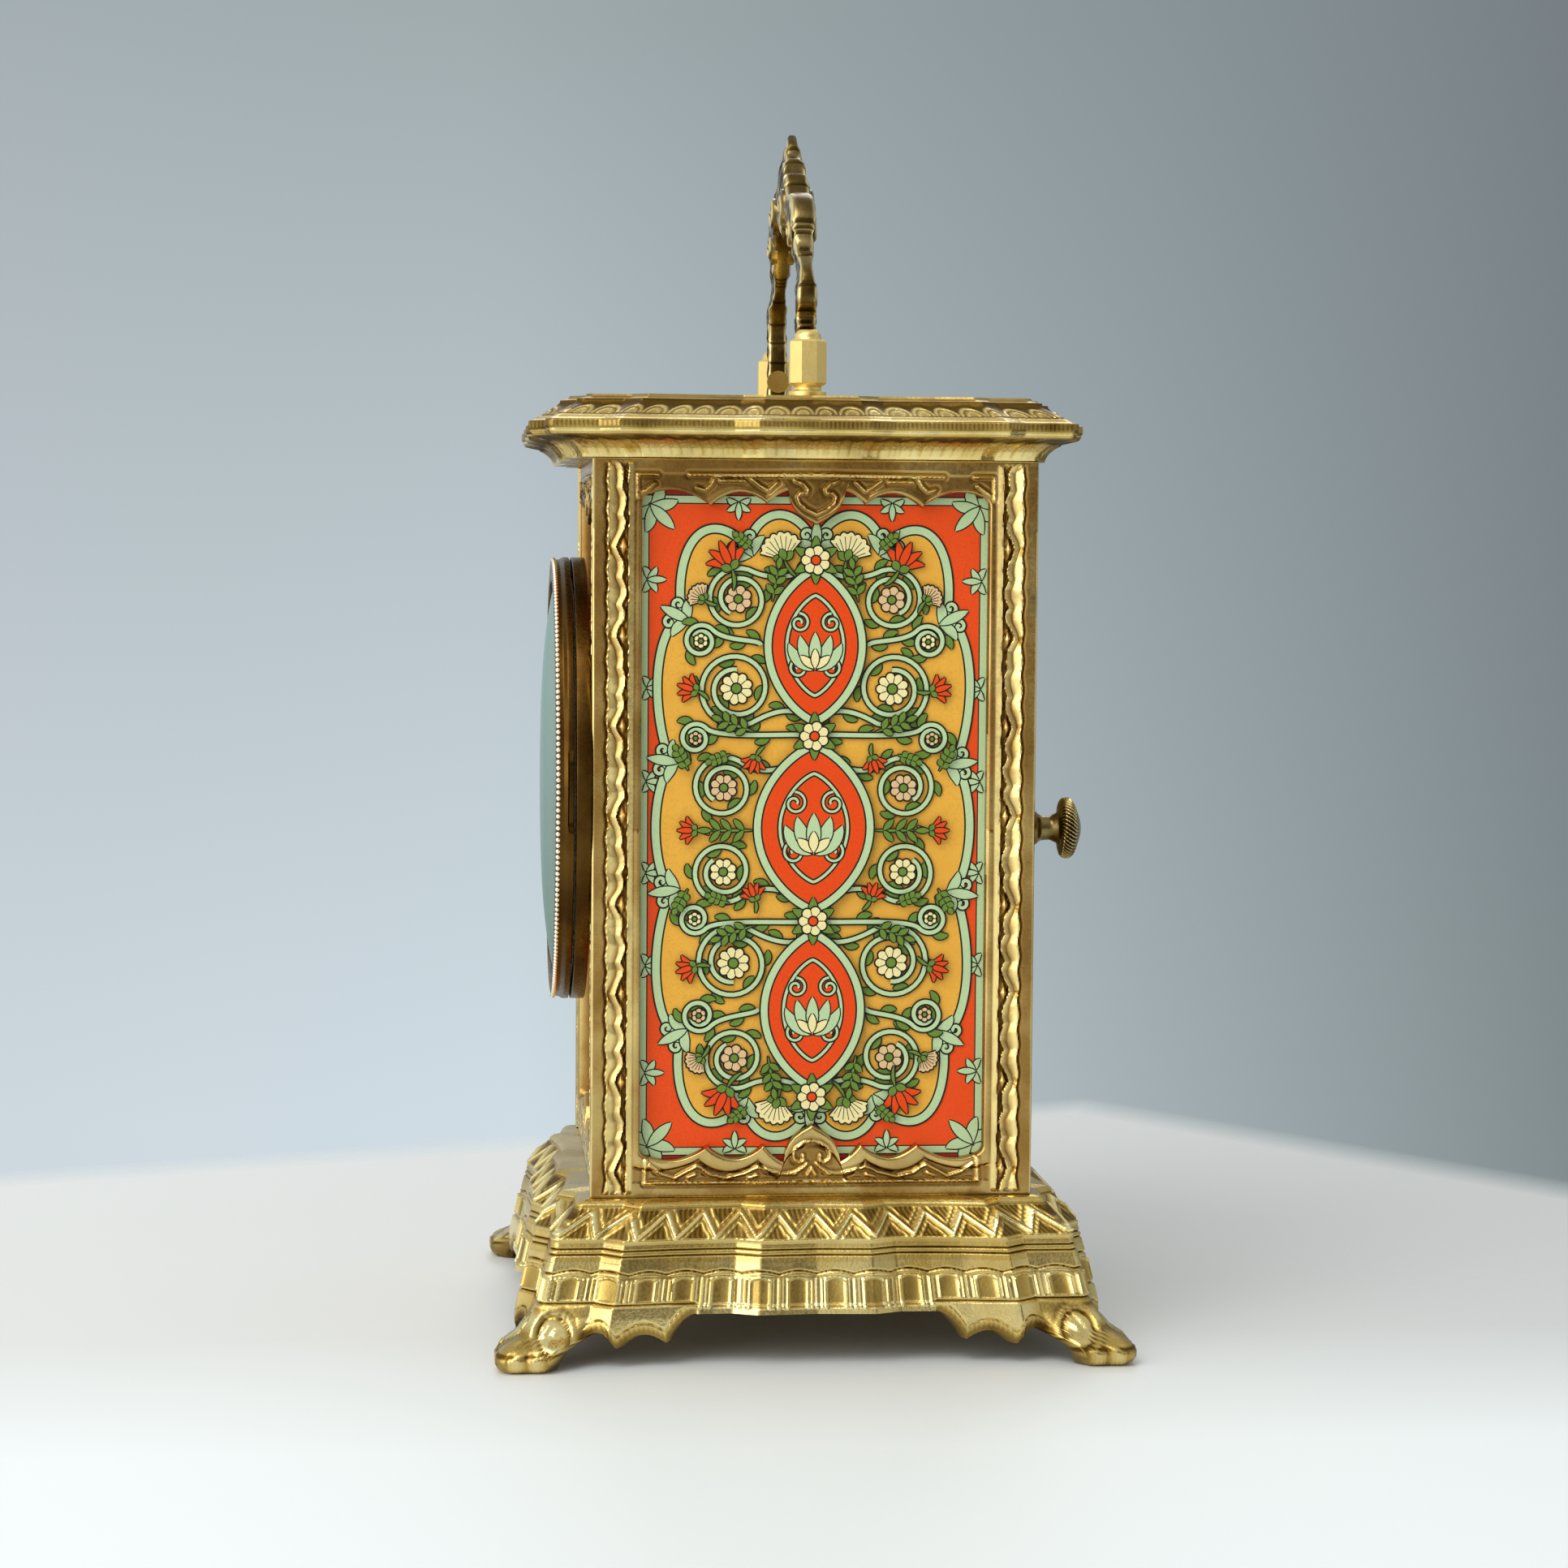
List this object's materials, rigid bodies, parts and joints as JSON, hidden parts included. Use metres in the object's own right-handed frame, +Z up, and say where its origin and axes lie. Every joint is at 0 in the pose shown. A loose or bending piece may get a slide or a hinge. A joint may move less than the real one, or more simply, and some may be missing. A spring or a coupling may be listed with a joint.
{
  "type": "carriage clock",
  "caption": "Small gilt bronze carriage clock: serpentine footed base, cusped frames round printed panels, hinged round bezel, rear door and folding handle.",
  "frame": {"origin": "middle of the footprint on the ground, under the soles of the feet", "axes": "+Z up, the dial faces -Y, the rear door faces +Y, and +X is the clock's left seen from behind, the viewer's right seen from the front"},
  "size_m": [0.0944, 0.0944, 0.1837],
  "materials": {
    "gilt_bronze": "gilt, worn bright on the edges",
    "bronze": "darker cast bronze with bright ridges",
    "brass": "turned and brushed",
    "steel": "polished steel",
    "printed_metal": "printed, satin varnish",
    "glass": "clear, faintly green",
    "dial_paint": "satin cream",
    "blued_steel": "blued"
  },
  "bodies": {
    "case": {"base_casting": "gilt_bronze", "lid_casting": "gilt_bronze", "base_screw_1": "steel", "base_screw_2": "steel", "base_screw_3": "steel", "base_screw_4": "steel", "corner_post_1": "brass", "corner_post_2": "brass", "corner_post_3": "brass", "corner_post_4": "brass", "front_frame": "bronze", "right_frame": "bronze", "left_frame": "bronze", "front_panel": "printed_metal", "right_panel": "printed_metal", "left_panel": "printed_metal", "right_retainer": "brass", "left_retainer": "brass", "handle_pillar_right": "brass", "handle_pillar_left": "brass", "handle_screw_right": "brass", "handle_screw_left": "brass", "bezel_seat": "gilt_bronze", "clamp_ring": "brass", "bezel_pin": "steel", "dial": "dial_paint", "front_plate": "brass", "back_plate": "brass", "plate_pillar_1": "brass", "plate_pillar_2": "brass", "plate_pillar_3": "brass", "minute_stud": "steel", "door_pin_bottom": "steel", "door_pin_top": "steel"},
    "door": {"door_frame": "bronze", "door_panel": "printed_metal", "door_retainer": "brass", "door_knob": "brass"},
    "bezel": {"bezel_ring": "gilt_bronze", "glass": "glass"},
    "handle": {"handle": "gilt_bronze"},
    "minute_hand": {"minute_hand": "blued_steel", "cannon_pinion": "steel"},
    "hour_hand": {"hour_hand": "blued_steel", "hour_wheel": "brass"},
    "minute_wheel": {"minute_wheel": "brass"},
    "setting": {"setting_arbor": "steel", "setting_knob": "brass"},
    "winding": {"barrel_arbor": "steel", "ratchet_wheel": "steel", "winding_key": "brass"},
    "click": {"click": "steel"},
    "barrel": {"barrel": "brass"},
    "centre_wheel": {"centre_wheel": "brass"},
    "third_wheel": {"third_wheel": "brass"},
    "fourth_wheel": {"fourth_wheel": "brass"},
    "escape_wheel": {"escape_wheel": "steel"},
    "pallet_fork": {"pallet_fork": "steel"},
    "balance": {"balance": "brass"}
  },
  "joints": [
    {"name": "door_hinge", "type": "hinge", "parent": "case", "child": "door", "pos_m": [-0.02985, 0.03195, 0.07795], "axis": [0, 0, 1], "range_deg": [0, 95]},
    {"name": "bezel_hinge", "type": "hinge", "parent": "case", "child": "bezel", "pos_m": [-0.0362, -0.03535, 0.0836], "axis": [0, 0, -1], "range_deg": [0, 110]},
    {"name": "handle_hinge", "type": "hinge", "parent": "case", "child": "handle", "pos_m": [0, -0.001, 0.1466], "axis": [1, 0, 0], "range_deg": [-90, 90]},
    {"name": "minute_hand_spin", "type": "hinge", "parent": "case", "child": "minute_hand", "pos_m": [0, -0.036, 0.0836], "axis": [0, 1, 0], "continuous": true},
    {"name": "hour_hand_spin", "type": "hinge", "parent": "case", "child": "hour_hand", "pos_m": [0, -0.036, 0.0836], "axis": [0, 1, 0], "continuous": true},
    {"name": "minute_wheel_spin", "type": "hinge", "parent": "case", "child": "minute_wheel", "pos_m": [0.0042, -0.034, 0.07633], "axis": [0, 1, 0], "continuous": true},
    {"name": "setting_spin", "type": "hinge", "parent": "case", "child": "setting", "pos_m": [0.01209, -0.02, 0.07345], "axis": [0, 1, 0], "continuous": true},
    {"name": "winding_spin", "type": "hinge", "parent": "case", "child": "winding", "pos_m": [-0.00797, -0.02, 0.07563], "axis": [0, 1, 0], "continuous": true},
    {"name": "click_pivot", "type": "hinge", "parent": "case", "child": "click", "pos_m": [-0.00797, -0.015, 0.08223], "axis": [0, -1, 0], "range_deg": [0, 10], "stiffness_Nm_per_rad": 0.00005},
    {"name": "fourth_wheel_spin", "type": "hinge", "parent": "case", "child": "fourth_wheel", "pos_m": [-0.00063, -0.024, 0.09307], "axis": [0, 1, 0], "continuous": true},
    {"name": "third_wheel_spin", "type": "hinge", "parent": "case", "child": "third_wheel", "pos_m": [0.00577, -0.024, 0.08937], "axis": [0, 1, 0], "continuous": true},
    {"name": "centre_wheel_spin", "type": "hinge", "parent": "case", "child": "centre_wheel", "pos_m": [0, -0.024, 0.0836], "axis": [0, 1, 0], "continuous": true},
    {"name": "barrel_spin", "type": "hinge", "parent": "case", "child": "barrel", "pos_m": [-0.00797, -0.024, 0.07563], "axis": [0, 1, 0], "continuous": true},
    {"name": "escape_wheel_spin", "type": "hinge", "parent": "case", "child": "escape_wheel", "pos_m": [0.00282, -0.024, 0.09905], "axis": [0, 1, 0], "continuous": true},
    {"name": "pallet_fork_pivot", "type": "hinge", "parent": "case", "child": "pallet_fork", "pos_m": [-0.00116, -0.024, 0.10135], "axis": [0, 1, 0], "range_deg": [-3, 3]},
    {"name": "balance_swing", "type": "hinge", "parent": "case", "child": "balance", "pos_m": [-0.00653, -0.024, 0.09825], "axis": [0, 1, 0], "range_deg": [-135, 135], "stiffness_Nm_per_rad": 0.000004}
  ],
  "couplings": [
    {"joint": "hour_hand_spin", "follows": "minute_hand_spin", "ratio": 0.083333},
    {"joint": "minute_wheel_spin", "follows": "minute_hand_spin", "ratio": -0.33333},
    {"joint": "setting_spin", "follows": "minute_hand_spin", "ratio": 1},
    {"joint": "third_wheel_spin", "follows": "fourth_wheel_spin", "ratio": -0.13333},
    {"joint": "centre_wheel_spin", "follows": "fourth_wheel_spin", "ratio": 0.019048},
    {"joint": "barrel_spin", "follows": "fourth_wheel_spin", "ratio": -0.0031746},
    {"joint": "escape_wheel_spin", "follows": "fourth_wheel_spin", "ratio": -8}
  ]
}
